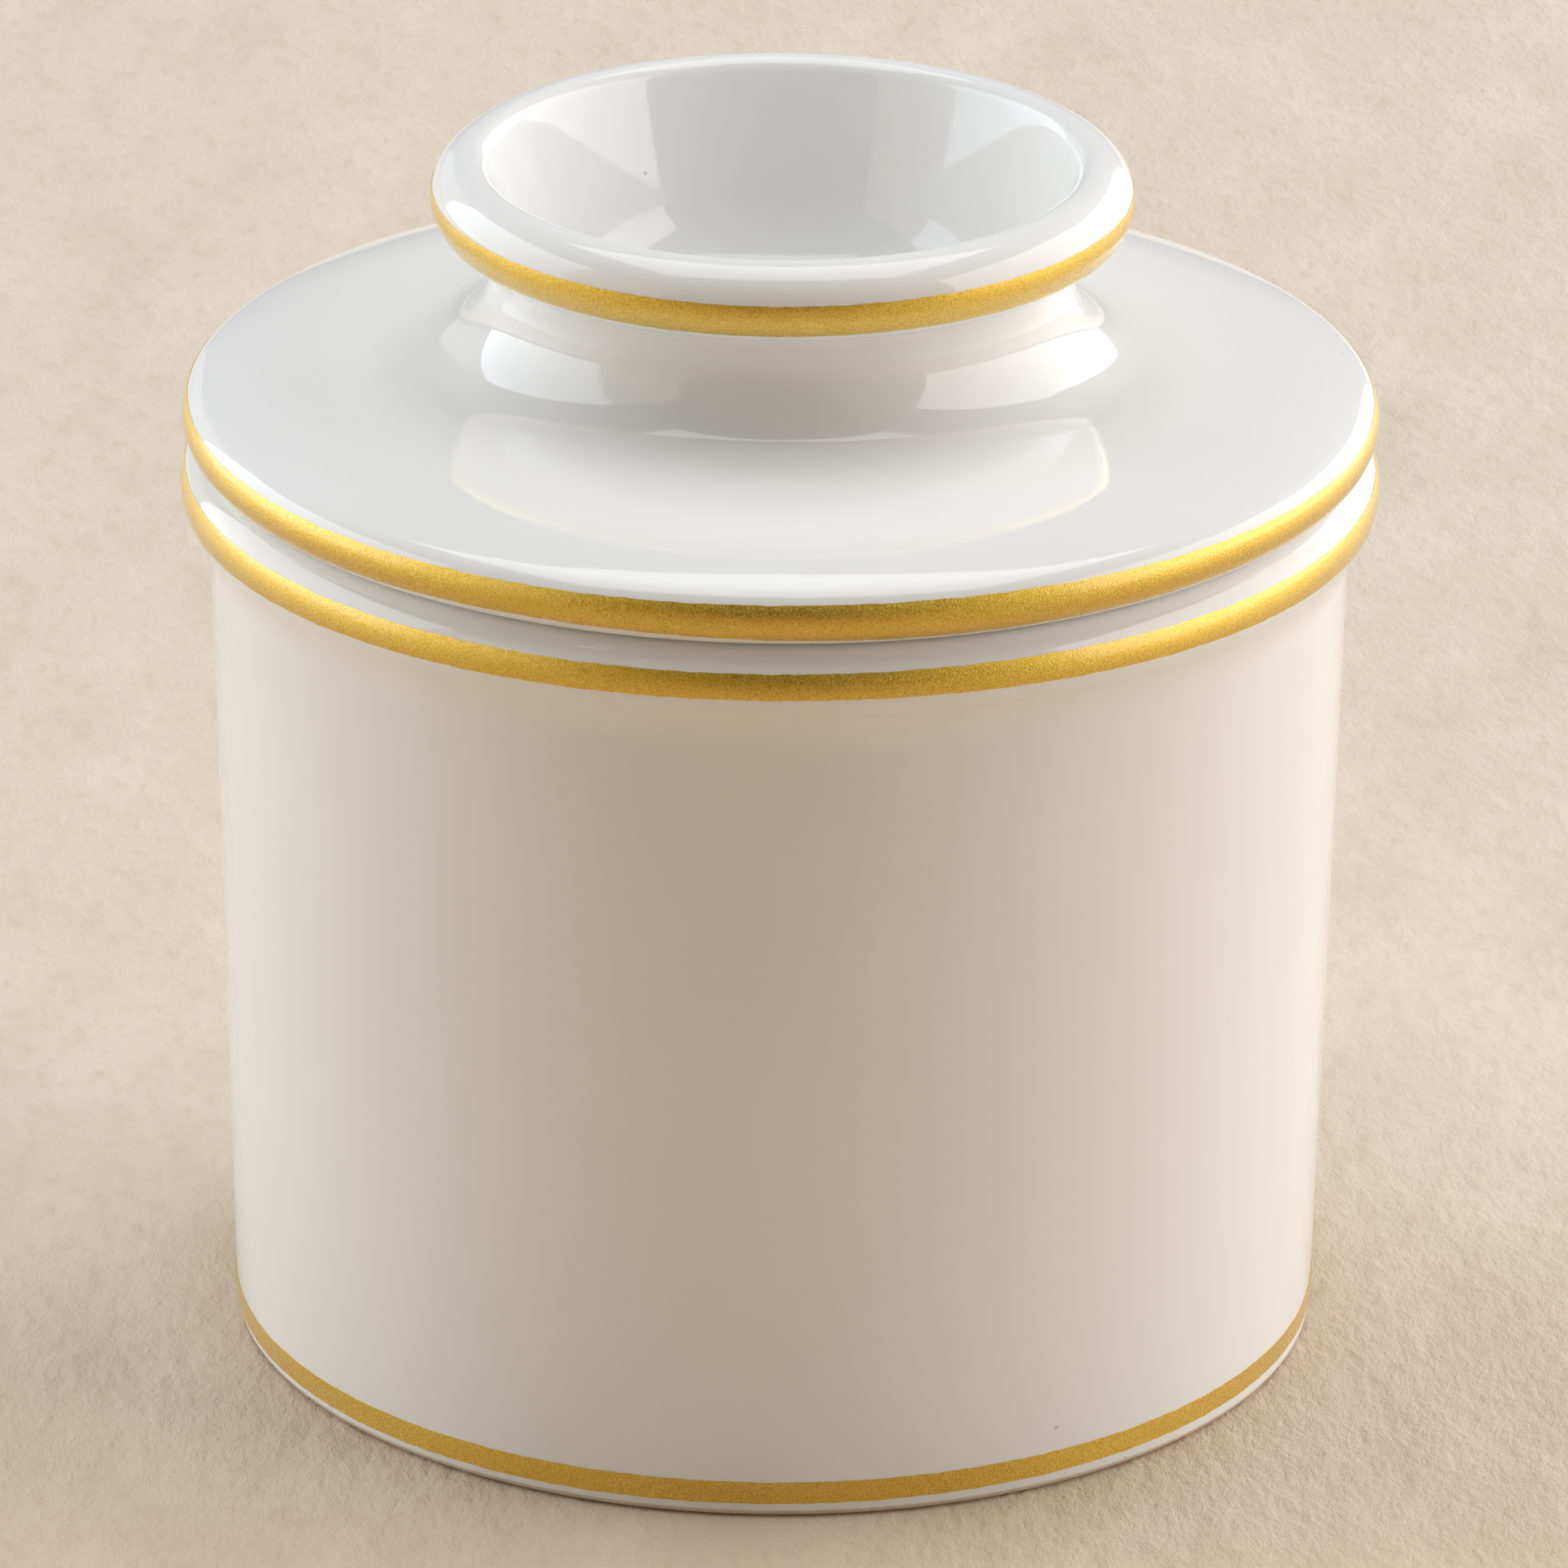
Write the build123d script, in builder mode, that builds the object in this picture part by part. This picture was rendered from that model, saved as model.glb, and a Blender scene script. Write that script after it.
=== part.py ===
"""Two-piece glazed butter crock: a crock for water, and a lid that carries a butter cup.

Units are millimetres. +Z is up and is the axis of revolution. The origin is the centre of
the circle that the foot ring stands on.
"""
from build123d import *
from math import acos, asin, cos, degrees, radians, sin, tan
import os

os.makedirs("parts", exist_ok=True)

# ---------------------------------------------------------------- crock
seat_height = 80.0          # top of the crock's rim, where the lid rests
foot_radius = 47.05         # outside of the wall, carried down to the floor
foot_edge_radius = 1.0      # rounding where the wall meets the foot ring
ring_inner_radius = 41.5    # inside of the bare foot ring
underside_recess = 1.5      # how far the glazed underside stands clear of the floor
wall_top_radius = 48.7      # outside of the wall, just under the rim
rim_radius = 51.2           # outside of the rolled rim
rim_roll_radius = 3.5       # section radius of the rolled rim
rim_cove_radius = 6.5       # hollow between the wall and the rolled rim
well_radius = 43.9          # inside of the wall at the rim
well_floor_radius = 42.6    # inside of the wall at the floor
well_floor_height = 5.5
well_corner_radius = 6.0
well_lip_radius = 1.6       # rounding between the seat and the inside of the wall

# ---------------------------------------------------------------- lid plate
plate_radius = 51.0         # outside of the beaded edge
bead_radius = 2.6           # section radius of the beaded edge
shoulder_slope = 19.5       # degrees, where the rounded shoulder leaves the bead
shoulder_radius = 36.0      # section radius of the shoulder
plate_slope = 5.2           # degrees that the top rises from the shoulder to the knob
plate_recess_radius = 44.4  # the underside is relieved inside this radius
plate_recess = 2.0
knob_foot_radius = 31.2     # where the knob is luted on to the plate

# ---------------------------------------------------------------- knob
knob_height = 105.15        # top of the whole crock
knob_radius = 29.85         # outside of the flared lip
lip_outer_radius = 3.4      # section radius of the lip, outside its crest
lip_inner_radius = 1.5      # section radius of the lip, inside its crest
neck_flare_radius = 7.0     # hollow between the plate and the neck
bowl_wall_tilt = 18.0       # degrees that the bowl's wall leans out from upright
bowl_wall_length = 10.6
bowl_floor_curve = 11.0     # section radius between the bowl's wall and its floor

# ---------------------------------------------------------------- butter cup
cup_top_radius = 33.0       # outside of the cup where it is luted under the plate
cup_mouth_radius = 36.3     # outside of the cup's rounded mouth
cup_wall = 3.8
cup_mouth_height = 34.0     # the mouth dips into the water in the crock
cup_ceiling = 2.0           # thickness of the cup's own closed end
cup_corner_radius = 5.0

# ---------------------------------------------------------------- gold bands
gold_depth = 0.25           # the band is let this far into the clay
gold_proud = 0.04           # and stands this far out of it
foot_gold = (1.25, 3.4)     # lowest and highest level of each band
rim_gold = (75.6, 78.05)
plate_gold = (80.85, 83.95)
knob_gold = (99.4, 102.4)

# Centres of the round sections that carry the bands.
rim_roll_centre = (rim_radius - rim_roll_radius, seat_height - rim_roll_radius)
bead_centre = (plate_radius - bead_radius, seat_height + bead_radius)
lip_centre = (knob_radius - lip_outer_radius, knob_height - lip_outer_radius)


def cove_turn(overhang, cove, roll):
    """Angle in degrees that a hollow turns through before it meets the roll above it."""
    return degrees(acos(1 - overhang / (cove + roll)))


def round_band(label, centre, radius, levels):
    """Gold ring that covers a round section between two levels."""
    start, end = (degrees(asin((level - centre[1]) / radius)) for level in levels)
    with BuildPart() as band:
        with BuildSketch(Plane.XZ):
            with BuildLine():
                outside = CenterArc(centre, radius + gold_proud, start, end - start)
                inside = CenterArc(centre, radius - gold_depth, start, end - start)
                Line(outside @ 0, inside @ 0)
                Line(outside @ 1, inside @ 1)
            make_face()
        revolve(axis=Axis.Z)
    band.part.label = label
    return band


# Gold band on the crock's foot: it follows the slope of the wall.
rim_turn = cove_turn(rim_radius - wall_top_radius, rim_cove_radius, rim_roll_radius)
wall_height = rim_roll_centre[1] - (rim_cove_radius + rim_roll_radius) * sin(radians(rim_turn))
wall_draft = (wall_top_radius - foot_radius) / wall_height
with BuildPart() as gold_band_crock_foot:
    with BuildSketch(Plane.XZ):
        with BuildLine():
            low, high = (foot_radius + wall_draft * level for level in foot_gold)
            Polyline(
                (low - gold_depth, foot_gold[0]),
                (low + gold_proud, foot_gold[0]),
                (high + gold_proud, foot_gold[1]),
                (high - gold_depth, foot_gold[1]),
                close=True,
            )
        make_face()
    revolve(axis=Axis.Z)
gold_band_crock_foot.part.label = "gold_band_crock_foot"

# Gold bands on the three round edges.
gold_band_crock_rim = round_band("gold_band_crock_rim", rim_roll_centre, rim_roll_radius, rim_gold)
gold_band_lid = round_band("gold_band_lid", bead_centre, bead_radius, plate_gold)
gold_band_knob = round_band("gold_band_knob", lip_centre, lip_outer_radius, knob_gold)

# Crock: foot ring, slightly tapered wall, hollow and rolled rim outside, round-cornered well.
with BuildPart() as crock_body:
    with BuildSketch(Plane.XZ):
        with BuildLine():
            outside = FilletPolyline(
                (0, underside_recess),
                (ring_inner_radius - underside_recess, underside_recess),
                (ring_inner_radius, 0),
                (foot_radius, 0),
                (wall_top_radius, wall_height),
                radius=[underside_recess / 2, underside_recess / 4, foot_edge_radius],
            )
            cove = JernArc(outside @ 1, (0, 1), rim_cove_radius, -rim_turn)
            roll = JernArc(cove @ 1, cove % 1, rim_roll_radius, rim_turn + 90)
            well = FilletPolyline(
                roll @ 1,
                (well_radius, seat_height),
                (well_floor_radius, well_floor_height),
                (0, well_floor_height),
                radius=[well_lip_radius, well_corner_radius],
            )
            Line(well @ 1, outside @ 0)
        make_face()
    revolve(axis=Axis.Z)
    add(gold_band_crock_foot.part, mode=Mode.SUBTRACT)
    add(gold_band_crock_rim.part, mode=Mode.SUBTRACT)
crock_body.part.label = "crock_body"

# The knob's outline rises from the plate at the joint between them.
shoulder_centre = (
    bead_centre[0] - (shoulder_radius - bead_radius) * sin(radians(shoulder_slope)),
    bead_centre[1] - (shoulder_radius - bead_radius) * cos(radians(shoulder_slope)),
)
shoulder_end_radius = shoulder_centre[0] + shoulder_radius * sin(radians(plate_slope))
shoulder_end_height = shoulder_centre[1] + shoulder_radius * cos(radians(plate_slope))
plate_rise = (shoulder_end_radius - knob_foot_radius) * tan(radians(plate_slope))
joint_height = shoulder_end_height + plate_rise
plate_underside = seat_height + plate_recess

# The open bowl in the top of the knob, as a solid to be cut out of the knob and the plate.
with BuildPart() as bowl:
    with BuildSketch(Plane.XZ):
        with BuildLine():
            crest = Line((0, knob_height), (lip_centre[0], knob_height))
            lip = JernArc(crest @ 1, (-1, 0), lip_inner_radius, 90 - bowl_wall_tilt)
            wall = Line(lip @ 1, lip @ 1 + (lip % 1) * bowl_wall_length)
            curve = JernArc(wall @ 1, wall % 1, bowl_floor_curve, bowl_wall_tilt - 90)
            Polyline(curve @ 1, (0, (curve @ 1).Y), (0, knob_height))
        make_face()
    revolve(axis=Axis.Z)

# Knob: hollow flare, narrow neck, hollow under the lip, thick round lip.
with BuildPart() as knob:
    with BuildSketch(Plane.XZ):
        with BuildLine():
            base = Line((0, joint_height), (knob_foot_radius, joint_height))
            rise = (-cos(radians(plate_slope)), sin(radians(plate_slope)))
            flare = JernArc(base @ 1, rise, neck_flare_radius, plate_slope - 90)
            overhang = knob_radius - (flare @ 1).X
            under_lip = lip_centre[1] - (flare @ 1).Y
            cove_radius = (under_lip**2 + overhang**2) / (2 * overhang) - lip_outer_radius
            turn = cove_turn(overhang, cove_radius, lip_outer_radius)
            cove = JernArc(flare @ 1, (0, 1), cove_radius, -turn)
            lip = JernArc(cove @ 1, cove % 1, lip_outer_radius, turn + 90)
            Polyline(lip @ 1, (0, knob_height), (0, joint_height))
        make_face()
    revolve(axis=Axis.Z)
    add(bowl.part, mode=Mode.SUBTRACT)
    add(gold_band_knob.part, mode=Mode.SUBTRACT)
knob.part.label = "knob"

# Lid plate: beaded edge, rounded shoulder, top rising to the knob, relieved underside, flat seat.
with BuildPart() as lid_plate:
    with BuildSketch(Plane.XZ):
        with BuildLine():
            underside = FilletPolyline(
                (0, plate_underside),
                (plate_recess_radius - plate_recess / 2, plate_underside),
                (plate_recess_radius, seat_height),
                (bead_centre[0], seat_height),
                radius=[plate_recess / 2, plate_recess / 4],
            )
            bead = JernArc(underside @ 1, (1, 0), bead_radius, 180 - shoulder_slope)
            shoulder = JernArc(bead @ 1, bead % 1, shoulder_radius, shoulder_slope - plate_slope)
            Polyline(
                shoulder @ 1,
                (knob_foot_radius, joint_height),
                (0, joint_height),
                (0, plate_underside),
            )
        make_face()
    revolve(axis=Axis.Z)
    add(bowl.part, mode=Mode.SUBTRACT)
    add(gold_band_lid.part, mode=Mode.SUBTRACT)
lid_plate.part.label = "lid_plate"

# Butter cup: hangs mouth down under the plate, and opens slightly like a bell.
with BuildPart() as butter_cup:
    with BuildSketch(Plane.XZ):
        with BuildLine():
            shoulder = (cup_top_radius, plate_underside)
            ceiling = plate_underside - cup_ceiling
            mouth = cup_mouth_height
            lip_level = mouth + cup_wall / 2
            outside = Polyline((0, plate_underside), shoulder, (cup_mouth_radius, lip_level))
            mouth_edge = JernArc(outside @ 1, (0, -1), cup_wall / 2, -180)
            FilletPolyline(
                mouth_edge @ 1,
                (cup_top_radius - cup_wall, ceiling),
                (0, ceiling),
                radius=cup_corner_radius,
            )
            Line((0, ceiling), (0, plate_underside))
        make_face()
    revolve(axis=Axis.Z)
butter_cup.part.label = "butter_cup"

pieces = (
    crock_body,
    lid_plate,
    knob,
    butter_cup,
    gold_band_crock_foot,
    gold_band_crock_rim,
    gold_band_lid,
    gold_band_knob,
)
for piece in pieces:
    export_step(piece.part, f"parts/{piece.part.label}.step")
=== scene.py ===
"""Looks of the butter crock: lathed, glazed ceramic pieces with gold lustre bands, on a pale floor."""
from math import acos, cos, degrees, hypot, pi, radians, sin, tan

import bpy
import numpy as np
from mathutils import Matrix, Vector


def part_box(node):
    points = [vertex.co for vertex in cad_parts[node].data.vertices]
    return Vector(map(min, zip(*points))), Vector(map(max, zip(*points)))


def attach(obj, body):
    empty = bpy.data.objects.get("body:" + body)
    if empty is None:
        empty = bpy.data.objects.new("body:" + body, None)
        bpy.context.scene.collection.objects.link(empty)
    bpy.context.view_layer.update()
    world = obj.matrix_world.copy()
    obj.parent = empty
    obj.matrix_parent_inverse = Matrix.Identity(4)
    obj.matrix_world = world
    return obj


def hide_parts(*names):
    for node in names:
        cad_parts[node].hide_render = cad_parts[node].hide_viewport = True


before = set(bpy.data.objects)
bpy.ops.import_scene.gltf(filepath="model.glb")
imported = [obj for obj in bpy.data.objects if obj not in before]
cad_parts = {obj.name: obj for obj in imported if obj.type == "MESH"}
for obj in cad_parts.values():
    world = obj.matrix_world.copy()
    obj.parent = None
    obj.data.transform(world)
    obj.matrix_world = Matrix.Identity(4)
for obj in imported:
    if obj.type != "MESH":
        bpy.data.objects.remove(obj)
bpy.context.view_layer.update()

MM = 0.001

# ------------------------------------------------------------------ sizes, in millimetres and degrees
def node_top(node):
    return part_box(node)[1].z / MM


def node_bottom(node):
    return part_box(node)[0].z / MM


def node_radius(node):
    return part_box(node)[1].x / MM


GOLD_DEPTH = 0.25            # how far a gold band is let into the clay
GOLD_PROUD = 0.03            # and how far it stands out of it
CAD_PROUD = 0.04

seat_height = node_top("crock_body")
foot_radius = 47.05
foot_edge_radius = 1.0
ring_inner_radius = 41.5
underside_recess = 1.5
wall_top_radius = 48.7
wall_lean = 1.36
rim_radius = node_radius("gold_band_crock_rim") - CAD_PROUD
rim_roll_radius = 3.5
rim_cove_radius = 6.5
well_radius = 43.9
well_floor_radius = 42.6
well_floor_height = 5.5
well_corner_radius = 6.0
well_lip_radius = 1.6
well_draft = 1.0

plate_radius = node_radius("gold_band_lid") - CAD_PROUD
bead_radius = 2.6
shoulder_slope = 19.5
shoulder_radius = 36.0
plate_slope = 5.2
plate_recess_radius = 44.4
plate_recess = 2.0
plate_recess_corner = 1.0
knob_foot_radius = node_radius("knob")

knob_height = node_top("knob")
knob_radius = node_radius("gold_band_knob") - CAD_PROUD
lip_outer_radius = 3.4
lip_inner_radius = 1.5
neck_flare_radius = 7.0
bowl_wall_tilt = 18.0
bowl_wall_length = 10.6
bowl_floor_curve = 11.0

cup_top_radius = 33.0
cup_mouth_radius = 36.3
cup_wall = 3.8
cup_mouth_height = node_bottom("butter_cup")
cup_ceiling = 2.0
cup_corner_radius = 5.0
cup_corner_step = 0.3

rim_roll_centre = (rim_radius - rim_roll_radius, seat_height - rim_roll_radius)
bead_centre = (plate_radius - bead_radius, seat_height + bead_radius)
lip_centre = (knob_radius - lip_outer_radius, knob_height - lip_outer_radius)

ROUND_STEPS = 320            # facets around every ceramic piece
BAND_STEPS = 960             # and around every gold band, whose edges are uneven
POINT_GAP = 0.35             # spacing of the points along an arc
LINE_STRETCH = 3             # points on a straight run are this many times as far apart
ARC_STEP = 6                 # largest turn between two points of an arc, in degrees
LEAST_ARC_STEPS = 4
ON_AXIS = 1e-6
SHARP_ANGLE = 35.0           # edges that turn by more than this are shaded sharp
UNEVENNESS = 0.05            # how far hand finishing takes the clay off a true circle
FINISH_MEAN = 0.5            # share of it taken off on average
FINISH_SWING = 0.24          # and how strongly the waves change that share
# Waves of hand finishing: weight, count round the piece, twist in radians for each mm up, phase.
FINISH_WAVES = ((1.0, 3, 0.11, 0.0), (0.7, 5, -0.17, 1.0), (0.4, 9, 0.31, 2.0))
SEAM_TUCK = 0.4              # the plate's joint face is cut this much lower, out of sight


# ------------------------------------------------------------------ outlines
class Outline:
    """A half section drawn like a pen stroke: straight runs, and arcs that keep its heading."""

    def __init__(self, r, z, heading=0.0):
        self.points = [(r, z)]
        self.heading = radians(heading)

    def line(self, r, z):
        r0, z0 = self.points[-1]
        length = hypot(r - r0, z - z0)
        self.heading = np.arctan2(z - z0, r - r0)
        count = max(1, round(length / POINT_GAP / LINE_STRETCH))
        for i in range(1, count + 1):
            self.points.append((r0 + (r - r0) * i / count, z0 + (z - z0) * i / count))

    def run(self, length):
        r0, z0 = self.points[-1]
        self.line(r0 + length * cos(self.heading), z0 + length * sin(self.heading))

    def arc(self, radius, turn, heading=None):
        """Turns left for a positive angle in degrees, right for a negative one."""
        if heading is not None:
            self.heading = radians(heading)
        turn = radians(turn)
        side = 1 if turn > 0 else -1
        r0, z0 = self.points[-1]
        cr = r0 - side * radius * sin(self.heading)
        cz = z0 + side * radius * cos(self.heading)
        count = max(LEAST_ARC_STEPS, round(abs(turn) * radius / POINT_GAP),
                    round(degrees(abs(turn)) / ARC_STEP))
        for i in range(1, count + 1):
            h = self.heading + turn * i / count
            self.points.append((cr + side * radius * sin(h), cz - side * radius * cos(h)))
        self.heading += turn

    def end(self):
        return self.points[-1]


def cove_turn(overhang, cove, roll):
    """How far a hollow turns before it meets the round edge that overhangs it, in degrees."""
    return degrees(acos(1 - overhang / (cove + roll)))


def hand_finish(r, z, angles):
    """Takes a little off the radius, unevenly, and the same on every piece at one height."""
    wave = sum(weight * np.sin(count * angles + twist * z + phase)
               for weight, count, twist, phase in FINISH_WAVES)
    share = np.clip(FINISH_MEAN + FINISH_SWING * wave, 0, 1)
    return r - UNEVENNESS * share * np.clip(r / foot_radius, 0, 1)


def smooth_object(name, verts, faces):
    mesh = bpy.data.meshes.new(name)
    mesh.from_pydata([tuple(v) for v in verts], [], faces)
    mesh.validate()
    mesh.update()
    obj = bpy.data.objects.new(name, mesh)
    bpy.context.scene.collection.objects.link(obj)
    mesh.shade_smooth()
    mesh.set_sharp_from_angle(angle=radians(SHARP_ANGLE))
    return obj


def lathe(name, points):
    """Spins a closed outline about Z. Points on the axis become poles."""
    angles = np.arange(ROUND_STEPS) * 2 * pi / ROUND_STEPS
    verts, rings = [], []
    for r, z in points:
        if r < ON_AXIS:
            rings.append([len(verts)])
            verts.append((0.0, 0.0, z * MM))
            continue
        rings.append(list(range(len(verts), len(verts) + ROUND_STEPS)))
        radii = hand_finish(np.full(ROUND_STEPS, r), z, angles)
        around = zip(radii * np.cos(angles), radii * np.sin(angles))
        verts.extend((x * MM, y * MM, z * MM) for x, y in around)
    faces = []
    for a, b in zip(rings, rings[1:] + rings[:1]):
        if len(a) == len(b) == 1:
            continue
        for k in range(ROUND_STEPS):
            m = (k + 1) % ROUND_STEPS
            if len(a) == 1:
                faces.append((a[0], b[m], b[k]))
            elif len(b) == 1:
                faces.append((a[k], a[m], b[0]))
            else:
                faces.append((a[k], a[m], b[m], b[k]))
    return smooth_object(name, verts, faces)


# ------------------------------------------------------------------ materials
# Noise scales count features in a metre, and relief is in metres.
GLAZE_TONES = ((0.884, 0.876, 0.856), (0.900, 0.893, 0.875))
TONE_STOPS = (0.35, 0.65)    # noise values where the first and last tone are reached
CLOUD_SCALE = 45.0
GLOSS_SCALE = 260.0
GLOSS_ROUGHNESS = (0.03, 0.075)
GLAZE_IOR = 1.52
RIPPLE_SCALE, RIPPLE_RELIEF = 90.0, 0.00005
PEEL_SCALE, PEEL_RELIEF = 900.0, 0.000004
SPECK_CELL = 3.0             # millimetres between the places where a speck may be
SPECK_RADIUS = 0.22          # millimetres
SPECK_SHARE = 0.03           # share of those places that have one
SPECK_STRENGTH = 0.4
SPECK_TONE = (0.30, 0.24, 0.17)
# tones of the unglazed foot, darker than the glaze, which also serve as painted shade near the floor
CLAY_AND_SHADE_TONES = ((0.66, 0.54, 0.43), (0.77, 0.66, 0.55))
CLAY_SCALE = 2500.0
CLAY_ROUGHNESS = 0.8         # added to the roughness of the glaze
BARE_AND_SHADE_HEIGHT = 0.7            # millimetres above the floor coloured as unglazed foot, darker and warmer than the glaze, partly painted shade near the floor

GOLD_TONES = ((0.56, 0.33, 0.02), (0.80, 0.52, 0.06), (0.95, 0.72, 0.20))
GOLD_STOPS = (0.37, 0.50, 0.66)
GRAIN_SCALE, GRAIN_RELIEF = 6400.0, 0.00006
BRUSH_SCALE, BRUSH_RELIEF = 160.0, 0.00003
GOLD_WEAR = 0.25
GOLD_ROUGHNESS = (0.28, 0.52)
GOLD_COAT_ROUGHNESS = 0.2

FLOOR_TONES = ((0.665, 0.560, 0.445), (0.735, 0.630, 0.512), (0.55, 0.43, 0.31))
FLOOR_STOPS = (0.34, 0.62)
FLOOR_STRETCH = (1.0, 0.45, 1.0)
FLOOR_TURN = 35              # degrees between the clouds' grain and the view
SWELL_SCALE, SWELL_RELIEF = 75.0, 0.0008
TOOTH_SCALE, TOOTH_RELIEF = 520.0, 0.0006
FLECK_SHARE = (0.0, 0.4)
FLECK_RANGE = (0.5, 0.75)
FLOOR_ROUGHNESS = 0.62
FRONT_SHADE_TINT = (0.98, 0.84, 0.67)   # painted shade: the tabletop's colour is made warmer and darker towards the viewer
FRONT_SHADE_FADE = (-0.18, 0.04)        # metres
WHITE = (1.0, 1.0, 1.0)


def material(name):
    m = bpy.data.materials.new(name)
    m.use_nodes = True
    nt = m.node_tree
    return m, nt, nt.nodes["Principled BSDF"]


def noise(nt, vector, scale, detail=3.0, roughness=0.5):
    n = nt.nodes.new("ShaderNodeTexNoise")
    n.inputs["Scale"].default_value = scale
    n.inputs["Detail"].default_value = detail
    n.inputs["Roughness"].default_value = roughness
    nt.links.new(vector, n.inputs["Vector"])
    return n.outputs["Fac"]


def ramp(nt, factor, *stops):
    r = nt.nodes.new("ShaderNodeValToRGB")
    while len(r.color_ramp.elements) < len(stops):
        r.color_ramp.elements.new(0.5)
    for element, (position, colour) in zip(r.color_ramp.elements, stops):
        element.position = position
        element.color = (*colour, 1)
    nt.links.new(factor, r.inputs["Fac"])
    return r.outputs["Color"]


def spread(nt, factor, low, high, from_low=0.3, from_high=0.7):
    m = nt.nodes.new("ShaderNodeMapRange")
    m.inputs["From Min"].default_value = from_low
    m.inputs["From Max"].default_value = from_high
    m.inputs["To Min"].default_value = low
    m.inputs["To Max"].default_value = high
    nt.links.new(factor, m.inputs["Value"])
    return m.outputs["Result"]


def mix(nt, factor, a, b, blend="MIX"):
    m = nt.nodes.new("ShaderNodeMix")
    m.data_type = "RGBA"
    m.blend_type = blend
    if factor is None:
        m.inputs["Factor"].default_value = 1.0
    else:
        nt.links.new(factor, m.inputs["Factor"])
    for socket, value in (("A", a), ("B", b)):
        place = next(i for i in m.inputs if i.name == socket and i.type == "RGBA")
        if isinstance(value, tuple):
            place.default_value = (*value, 1)
        else:
            nt.links.new(value, place)
    return next(o for o in m.outputs if o.type == "RGBA")


def multiply(nt, a, b):
    return mix(nt, None, a, b, "MULTIPLY")


def bump(nt, height, distance, normal=None):
    b = nt.nodes.new("ShaderNodeBump")
    b.inputs["Strength"].default_value = 1.0
    b.inputs["Distance"].default_value = distance
    nt.links.new(height, b.inputs["Height"])
    if normal:
        nt.links.new(normal, b.inputs["Normal"])
    return b.outputs["Normal"]


def calculate(nt, operation, a, b):
    m = nt.nodes.new("ShaderNodeMath")
    m.operation = operation
    for socket, value in zip(m.inputs, (a, b)):
        if isinstance(value, (int, float)):
            socket.default_value = value
        else:
            nt.links.new(value, socket)
    return m.outputs["Value"]


def object_coords(nt):
    return nt.nodes.new("ShaderNodeTexCoord").outputs["Object"]


def glaze_material():
    """Glossy white glaze: faint clouds, pin-prick specks, and a darker, warmer unglazed foot, carried
    up its edge as painted shade near the floor.
    """
    m, nt, bsdf = material("white_glaze")
    place = object_coords(nt)
    cloud = ramp(nt, noise(nt, place, CLOUD_SCALE, 4.0), *zip(TONE_STOPS, GLAZE_TONES))
    cells = nt.nodes.new("ShaderNodeTexVoronoi")
    cells.inputs["Scale"].default_value = 1 / (SPECK_CELL * MM)
    nt.links.new(place, cells.inputs["Vector"])
    near = calculate(nt, "LESS_THAN", cells.outputs["Distance"], SPECK_RADIUS / SPECK_CELL)
    pick = nt.nodes.new("ShaderNodeSeparateColor")
    nt.links.new(cells.outputs["Color"], pick.inputs["Color"])
    chosen = calculate(nt, "LESS_THAN", pick.outputs["Red"], SPECK_SHARE)
    speck = calculate(nt, "MULTIPLY", near, chosen)
    speck = calculate(nt, "MULTIPLY", speck, SPECK_STRENGTH)
    glazed = mix(nt, speck, cloud, SPECK_TONE)
    height = nt.nodes.new("ShaderNodeSeparateXYZ")
    nt.links.new(place, height.inputs["Vector"])
    # painted shade: the lowest strip of the foot takes the darker, warmer unglazed colour, partly real
    # unglazed foot and partly shade near the floor
    bare_and_shaded = calculate(nt, "LESS_THAN", height.outputs["Z"], BARE_AND_SHADE_HEIGHT * MM)
    grit = noise(nt, place, CLAY_SCALE, 4.0, 0.7)
    clay_and_shade = ramp(nt, grit, *zip(TONE_STOPS, CLAY_AND_SHADE_TONES))
    nt.links.new(mix(nt, bare_and_shaded, glazed, clay_and_shade), bsdf.inputs["Base Color"])
    gloss = spread(nt, noise(nt, place, GLOSS_SCALE, 5.0, 0.6), *GLOSS_ROUGHNESS)
    matt = calculate(nt, "MULTIPLY", bare_and_shaded, CLAY_ROUGHNESS)
    nt.links.new(calculate(nt, "ADD", gloss, matt), bsdf.inputs["Roughness"])
    bsdf.inputs["IOR"].default_value = GLAZE_IOR
    ripple = bump(nt, noise(nt, place, RIPPLE_SCALE, 1.0), RIPPLE_RELIEF)
    peel = bump(nt, noise(nt, place, PEEL_SCALE, 2.0), PEEL_RELIEF, normal=ripple)
    nt.links.new(peel, bsdf.inputs["Normal"])
    return m


def gold_material():
    """Satin fired gold lustre: brushed on by hand, with a metallic grain that glints."""
    m, nt, bsdf = material("gold_lustre")
    place = object_coords(nt)
    grain = noise(nt, place, GRAIN_SCALE, 3.0, 0.75)
    brushed = noise(nt, place, BRUSH_SCALE, 3.0)
    film = ramp(nt, grain, *zip(GOLD_STOPS, GOLD_TONES))
    worn = mix(nt, spread(nt, brushed, 0.0, GOLD_WEAR), film, GOLD_TONES[1])
    nt.links.new(worn, bsdf.inputs["Base Color"])
    bsdf.inputs["Metallic"].default_value = 1.0
    bsdf.inputs["Coat Weight"].default_value = 1.0
    bsdf.inputs["Coat Roughness"].default_value = GOLD_COAT_ROUGHNESS
    nt.links.new(spread(nt, grain, *GOLD_ROUGHNESS), bsdf.inputs["Roughness"])
    strokes = bump(nt, brushed, BRUSH_RELIEF)
    nt.links.new(bump(nt, grain, GRAIN_RELIEF, normal=strokes), bsdf.inputs["Normal"])
    return m


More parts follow.
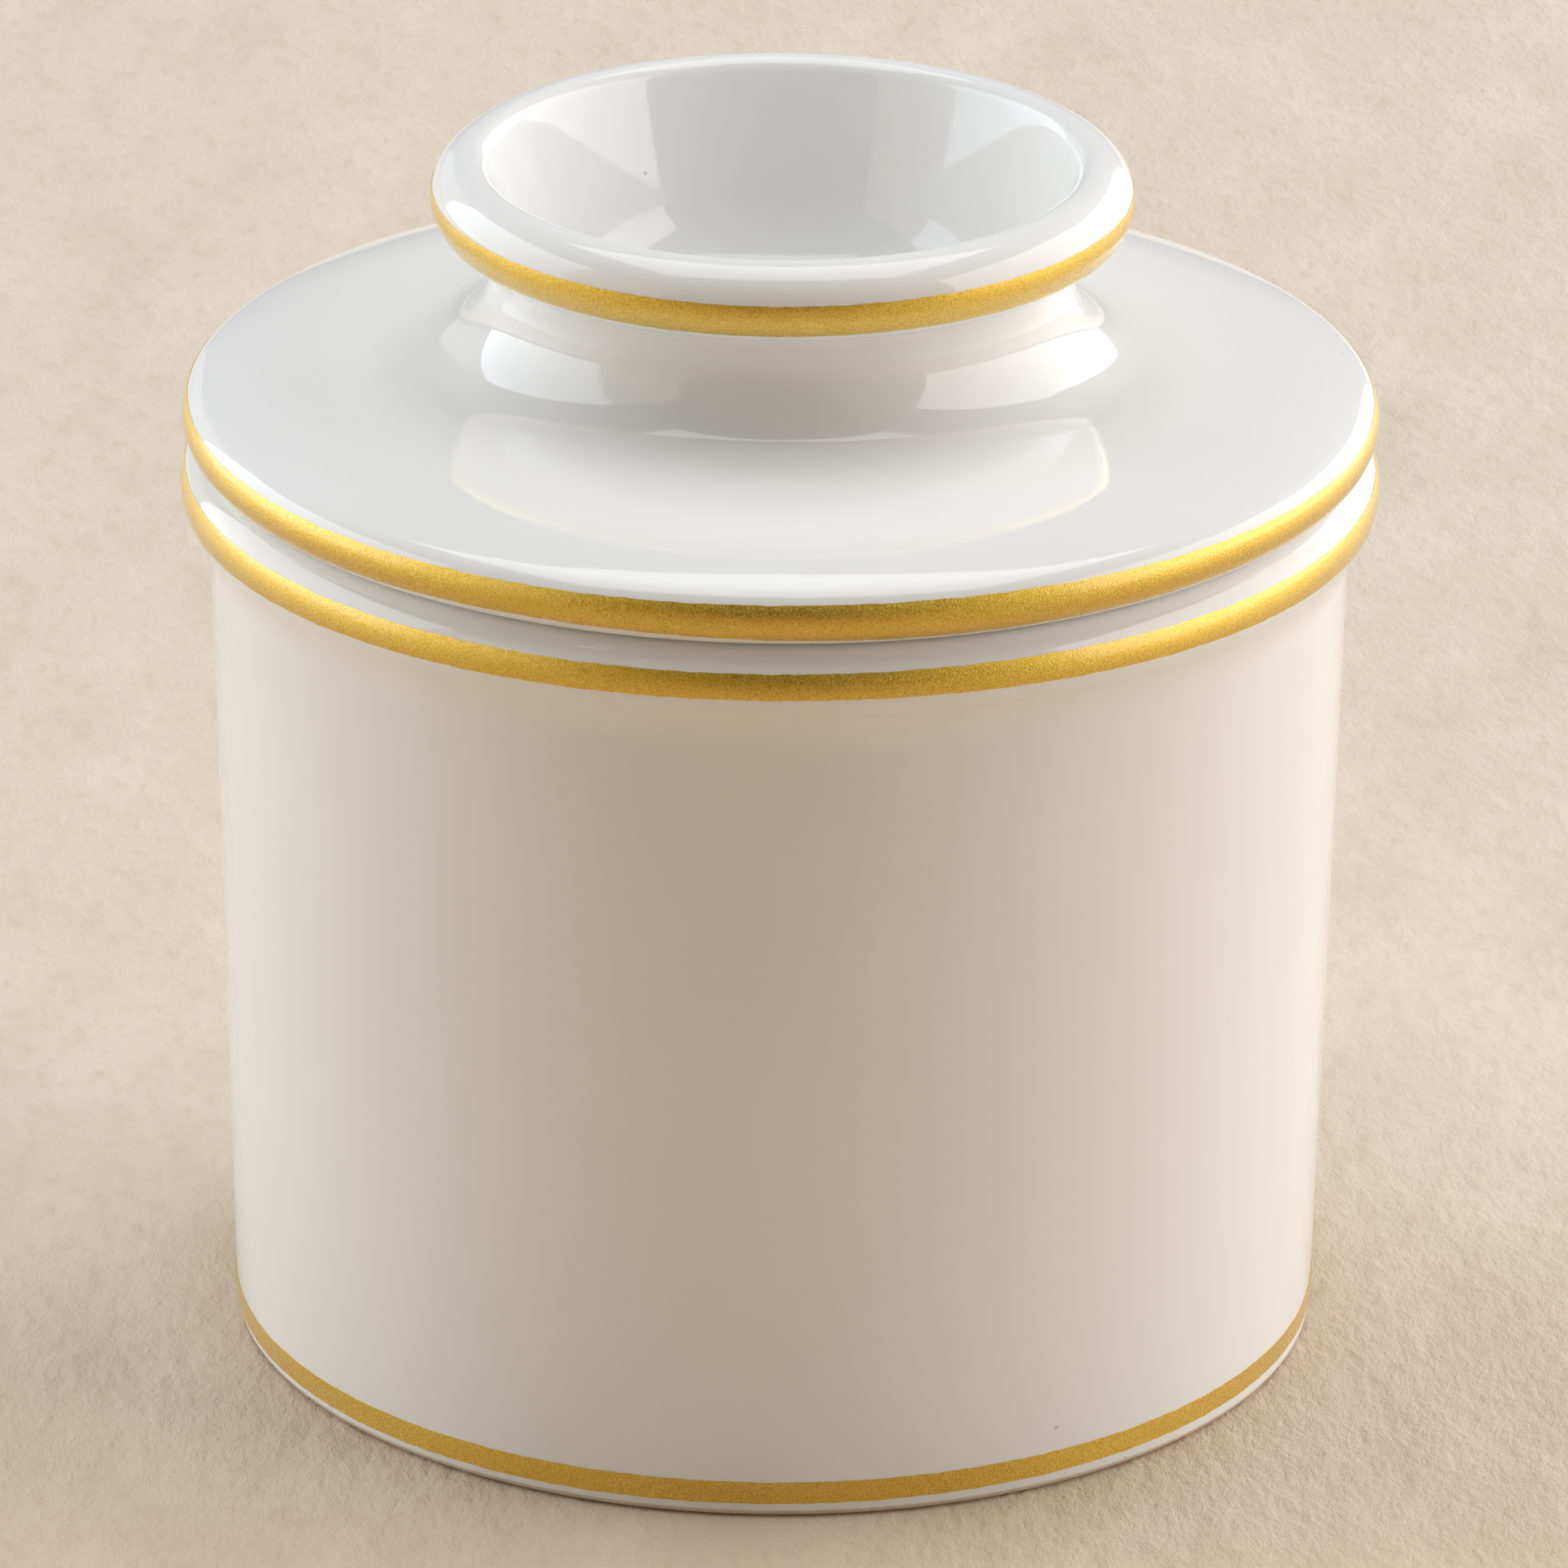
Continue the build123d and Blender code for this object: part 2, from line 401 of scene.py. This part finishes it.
def floor_material():
    """Pale, slightly rough tabletop with soft clouds, a fine tooth, and painted shade that makes it
    warmer and darker towards the viewer.
    """
    m, nt, bsdf = material("pale_floor")
    place = object_coords(nt)
    stretch = nt.nodes.new("ShaderNodeMapping")
    stretch.inputs["Scale"].default_value = FLOOR_STRETCH
    stretch.inputs["Rotation"].default_value = (0, 0, radians(FLOOR_TURN))
    nt.links.new(place, stretch.inputs["Vector"])
    clouds = noise(nt, stretch.outputs["Vector"], SWELL_SCALE, 8.0, 0.66)
    tooth = noise(nt, stretch.outputs["Vector"], TOOTH_SCALE, 6.0, 0.65)
    tone = ramp(nt, clouds, *zip(FLOOR_STOPS, FLOOR_TONES))
    flecked = mix(nt, spread(nt, tooth, *FLECK_SHARE, *FLECK_RANGE), tone, FLOOR_TONES[2])
    depth = nt.nodes.new("ShaderNodeSeparateXYZ")
    nt.links.new(place, depth.inputs["Vector"])
    # painted shade: the floor colour is multiplied warmer and darker towards the viewer
    front_shade = mix(nt, spread(nt, depth.outputs["Y"], 0.0, 1.0, *FRONT_SHADE_FADE), FRONT_SHADE_TINT, WHITE)
    nt.links.new(multiply(nt, flecked, front_shade), bsdf.inputs["Base Color"])
    bsdf.inputs["Roughness"].default_value = FLOOR_ROUGHNESS
    swell = bump(nt, clouds, SWELL_RELIEF)
    nt.links.new(bump(nt, tooth, TOOTH_RELIEF, normal=swell), bsdf.inputs["Normal"])
    return m


GLAZE = glaze_material()
GOLD = gold_material()
FLOOR = floor_material()


# ------------------------------------------------------------------ ceramic pieces
def rim_cove():
    """How far the hollow under the rim turns, and the height at which it leaves the wall."""
    turn = cove_turn(rim_radius - wall_top_radius, rim_cove_radius, rim_roll_radius)
    return turn, rim_roll_centre[1] - (rim_cove_radius + rim_roll_radius) * sin(radians(turn))


def crock_outline():
    turn, wall_height = rim_cove()
    o = Outline(0, underside_recess)
    o.line(ring_inner_radius - underside_recess, underside_recess)
    o.line(ring_inner_radius, 0)
    o.line(foot_radius - foot_edge_radius, 0)
    o.arc(foot_edge_radius, 90 - wall_lean, heading=0)
    o.line(wall_top_radius, wall_height)
    o.arc(rim_cove_radius, -turn, heading=90)
    o.arc(rim_roll_radius, turn + 90)
    o.line(well_radius + well_lip_radius, seat_height)
    o.arc(well_lip_radius, 90 + well_draft)
    o.line(well_floor_radius, well_floor_height + well_corner_radius)
    o.arc(well_corner_radius, well_draft - 90)
    o.line(0, o.end()[1])
    return o.points


def bowl_outline():
    """From the crest of the lip down into the bowl, to the axis."""
    o = Outline(lip_centre[0], knob_height, 180)
    o.arc(lip_inner_radius, 90 - bowl_wall_tilt)
    o.run(bowl_wall_length)
    o.arc(bowl_floor_curve, bowl_wall_tilt - 90)
    o.line(0, o.end()[1])
    return o.points


def shoulder_end():
    """Where the rounded shoulder of the plate meets its sloping top."""
    drop = shoulder_radius - bead_radius
    start, end = radians(shoulder_slope), radians(plate_slope)
    return (bead_centre[0] - drop * sin(start) + shoulder_radius * sin(end),
            bead_centre[1] - drop * cos(start) + shoulder_radius * cos(end))


def joint_level():
    """Height of the seam between the plate and the knob."""
    r, z = shoulder_end()
    return z + (r - knob_foot_radius) * tan(radians(plate_slope))


def split_bowl():
    """The bowl above the seam, the point where it crosses the seam, and the bowl below."""
    joint = joint_level()
    bowl = bowl_outline()
    above = [p for p in bowl if p[1] > joint]
    below = [p for p in bowl if p[1] <= joint]
    (r0, z0), (r1, z1) = above[-1], below[0]
    share = (z0 - joint) / (z0 - z1)
    return above, (r0 + (r1 - r0) * share, joint), below


def knob_outline():
    above, (inner_radius, joint), _ = split_bowl()
    o = Outline(inner_radius, joint)
    o.line(knob_foot_radius, joint)
    o.arc(neck_flare_radius, plate_slope - 90, heading=180 - plate_slope)
    overhang = knob_radius - o.end()[0]
    under_lip = lip_centre[1] - o.end()[1]
    cove = (under_lip ** 2 + overhang ** 2) / (2 * overhang) - lip_outer_radius
    turn = cove_turn(overhang, cove, lip_outer_radius)
    o.arc(cove, -turn, heading=90)
    o.arc(lip_outer_radius, turn + 90)
    return o.points + above[1:]


def plate_outline():
    _, (edge_radius, joint), inside = split_bowl()
    o = Outline(0, seat_height + plate_recess)
    o.line(plate_recess_radius - plate_recess, seat_height + plate_recess)
    o.arc(plate_recess_corner, -45, heading=0)
    o.line(plate_recess_radius, seat_height)
    o.line(bead_centre[0], seat_height)
    o.arc(bead_radius, 180 - shoulder_slope, heading=0)
    o.arc(shoulder_radius, shoulder_slope - plate_slope)
    o.line(knob_foot_radius, joint)
    o.line(knob_foot_radius - SEAM_TUCK, joint - SEAM_TUCK)
    o.line(edge_radius + SEAM_TUCK, joint - SEAM_TUCK)
    o.line(edge_radius, joint)
    return o.points + inside


def cup_outline():
    top = seat_height + plate_recess
    o = Outline(0, top)
    o.line(cup_top_radius, top)
    lean = degrees(np.arctan2(cup_mouth_radius - cup_top_radius, top - cup_mouth_height))
    o.line(cup_mouth_radius, cup_mouth_height + cup_wall / 2)
    o.arc(cup_wall / 2, -180, heading=-90)
    inner_top = cup_top_radius - cup_wall
    ceiling = top - cup_ceiling
    o.line(inner_top + cup_corner_step, ceiling - cup_corner_radius)
    o.arc(cup_corner_radius, 90 - lean, heading=90 + lean)
    o.line(0, o.end()[1])
    return o.points


BAND_ROWS = 15               # points across a gold band
BRUSH_TREMBLE = ((37, 5), (61, 2), (97, 1), (143, 0.5))   # count, azimuth of one crest
TREMBLE_HEIGHT = 0.012
# Lower and upper edge of each band: level, then waves of (height, count, azimuth of one crest).
GOLD_EDGES = {
    "gold_foot": ((1.42, (0.22, 1, 100)), (3.37, (0.15, 1, 90))),
    "gold_rim": ((75.35, (0.25, 1, 5), (0.3, 2, 5)), (78.05, (0.05, 3, 20))),
    "gold_lid": ((80.9, (0.15, 3, -23), (0.15, 5, -23)), (83.98, (0.04, 4, 10))),
    "gold_knob": ((99.45, (0.06, 3, 40)), (102.45, (0.12, 2, -100))),
}


def wavy(level, *waves):
    """A painted edge: its level all round, as waves of (height, count, azimuth of one crest)."""
    def at(azimuth):
        total = np.full_like(azimuth, level)
        for height, count, crest in waves:
            total += height * np.cos(count * (azimuth - radians(crest)))
        for count, crest in BRUSH_TREMBLE:
            total += TREMBLE_HEIGHT * np.cos(count * (azimuth - radians(crest)))
        return total
    return at


def roll_section(centre, radius):
    """The point of a round edge at some level, with a film of some thickness on it."""
    def at(levels, film):
        lift = np.arcsin((levels - centre[1]) / radius)
        return centre[0] + (radius + film) * np.cos(lift), centre[1] + (radius + film) * np.sin(lift)
    return at


def wall_section(levels, film):
    """The same for the straight wall."""
    _, wall_height = rim_cove()
    draft = (wall_top_radius - foot_radius) / wall_height
    return foot_radius + draft * levels + film, levels


def band(name, section, low, high):
    """A closed thin ring of gold between two painted edges. Azimuth counts from the front."""
    angles = np.arange(BAND_STEPS) * 2 * pi / BAND_STEPS
    azimuth = angles + pi / 2
    bottom, top = low(azimuth), high(azimuth)
    shares = np.linspace(0, 1, BAND_ROWS)
    rows = [(share, GOLD_PROUD) for share in shares]
    rows += [(share, -GOLD_DEPTH) for share in shares[::-1]]
    verts = []
    for share, film in rows:
        r, z = section(bottom + (top - bottom) * share, film)
        r = hand_finish(r, z, angles)
        verts.extend(zip(r * np.cos(angles) * MM, r * np.sin(angles) * MM, z * MM))
    faces = []
    for i in range(len(rows)):
        j = (i + 1) % len(rows)
        for k in range(BAND_STEPS):
            m = (k + 1) % BAND_STEPS
            faces.append(tuple(row * BAND_STEPS + c for row, c in ((i, k), (i, m), (j, m), (j, k))))
    return smooth_object(name, verts, faces)


def add_piece(obj, body, node_name, mat):
    obj.data.materials.append(mat)
    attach(obj, body)
    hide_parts(node_name)


def add_glazed(name, outline, body, node_name):
    add_piece(lathe(name, outline), body, node_name, GLAZE)


def add_gold(name, section, body, node_name):
    low, high = (wavy(*edge) for edge in GOLD_EDGES[name])
    add_piece(band(name, section, low, high), body, node_name, GOLD)


add_glazed("crock_glazed", crock_outline(), "crock", "crock_body")
add_glazed("lid_plate_glazed", plate_outline(), "lid", "lid_plate")
add_glazed("knob_glazed", knob_outline(), "lid", "knob")
add_glazed("butter_cup_glazed", cup_outline(), "lid", "butter_cup")
add_gold("gold_foot", wall_section, "crock", "gold_band_crock_foot")
add_gold("gold_rim", roll_section(rim_roll_centre, rim_roll_radius), "crock", "gold_band_crock_rim")
add_gold("gold_lid", roll_section(bead_centre, bead_radius), "lid", "gold_band_lid")
add_gold("gold_knob", roll_section(lip_centre, lip_outer_radius), "lid", "gold_band_knob")


# ------------------------------------------------------------------ stage
FLOOR_HALF = 3.0             # half the floor's width, in metres
corners = [(x * FLOOR_HALF, y * FLOOR_HALF, 0.0) for x, y in ((-1, -1), (1, -1), (1, 1), (-1, 1))]
floor = smooth_object("floor", corners, [(0, 1, 2, 3)])
floor.data.materials.append(FLOOR)

# Upright softboxes on both sides of the crock, and one panel above it: centre, way it faces,
# width, height, all in metres, and the radiance of each colour.
PANELS = {
    "left_back": ((-1.0, 2.3, 0.45), (1, 0, 0), 2.4, 0.83, (0.35, 0.35, 0.35)),
    "left_near": ((-1.0, 0.4, 0.48), (1, 0, 0), 1.45, 0.9, (2.3, 2.5, 2.72)),
    "left_front": ((-1.0, -0.8, 0.45), (1, 0, 0), 0.96, 0.83, (0.9, 0.8, 0.6)),
    "right_back": ((0.96, 1.68, 0.45), (-1, 0, 0), 1.76, 0.83, (3.2, 3.4, 3.8)),
    "right_near": ((0.96, 0.08, 0.48), (-1, 0, 0), 1.45, 0.9, (2.7, 2.65, 2.6)),
    "overhead": ((0.0, 0.4, 2.1), (0, 0, -1), 1.93, 1.93, (2.42, 2.46, 2.5)),
}


def panel(name, centre, facing, width, height, radiance):
    light = bpy.data.lights.new(name, "AREA")
    light.shape = "RECTANGLE"
    light.size, light.size_y = width, height
    peak = max(radiance)
    light.energy = peak * pi * width * height
    light.color = [c / peak for c in radiance]
    obj = bpy.data.objects.new(name, light)
    obj.location = centre
    up_axis = "Y" if facing[2] == 0 else "X"
    obj.rotation_euler = Vector(facing).to_track_quat("-Z", up_axis).to_euler()
    bpy.context.scene.collection.objects.link(obj)


for panel_name, values in PANELS.items():
    panel(panel_name, *values)

SKY_UP = (0.04, 0.04, 0.04)
SKY_BACK = (0.17, 0.16, 0.14)
SKY_FRONT = (0.035, 0.024, 0.014)
SKY_TURN = (-0.5, 0.5)       # from the front tone to the back one, along Y
SKY_RISE = (0.3, 0.8)        # from those to the tone above, along Z


def room_world():
    """A dim room, darkest and warmest in front of the crock and brightest behind it."""
    world = bpy.data.worlds.new("soft_room")
    bpy.context.scene.world = world
    world.use_nodes = True
    nt = world.node_tree
    way = nt.nodes.new("ShaderNodeSeparateXYZ")
    nt.links.new(nt.nodes.new("ShaderNodeTexCoord").outputs["Generated"], way.inputs["Vector"])
    around = mix(nt, spread(nt, way.outputs["Y"], 0.0, 1.0, *SKY_TURN), SKY_FRONT, SKY_BACK)
    sky = mix(nt, spread(nt, way.outputs["Z"], 0.0, 1.0, *SKY_RISE), around, SKY_UP)
    nt.links.new(sky, nt.nodes["Background"].inputs["Color"])


room_world()
bpy.context.scene.view_settings.view_transform = "Standard"


# ------------------------------------------------------------------ camera, in millimetres and degrees
CAMERA_DISTANCE = 1068.0
CAMERA_ELEVATION = 22.2
CAMERA_ROLL = 0.5
AIM_HEIGHT = 47.7
AIM_SIDE = 0.55
FOCAL_LENGTH = 283.9
SENSOR_WIDTH = 36.0

data = bpy.data.cameras.new("photo_view")
data.lens = FOCAL_LENGTH
data.sensor_width = SENSOR_WIDTH
camera = bpy.data.objects.new("photo_view", data)
bpy.context.scene.collection.objects.link(camera)
lift = radians(CAMERA_ELEVATION)
camera.location = (AIM_SIDE * MM, -CAMERA_DISTANCE * cos(lift) * MM,
                   (AIM_HEIGHT + CAMERA_DISTANCE * sin(lift)) * MM)
camera.rotation_euler = (Matrix.Rotation(pi / 2 - lift, 3, "X")
                         @ Matrix.Rotation(radians(CAMERA_ROLL), 3, "Z")).to_euler()
bpy.context.scene.camera = camera
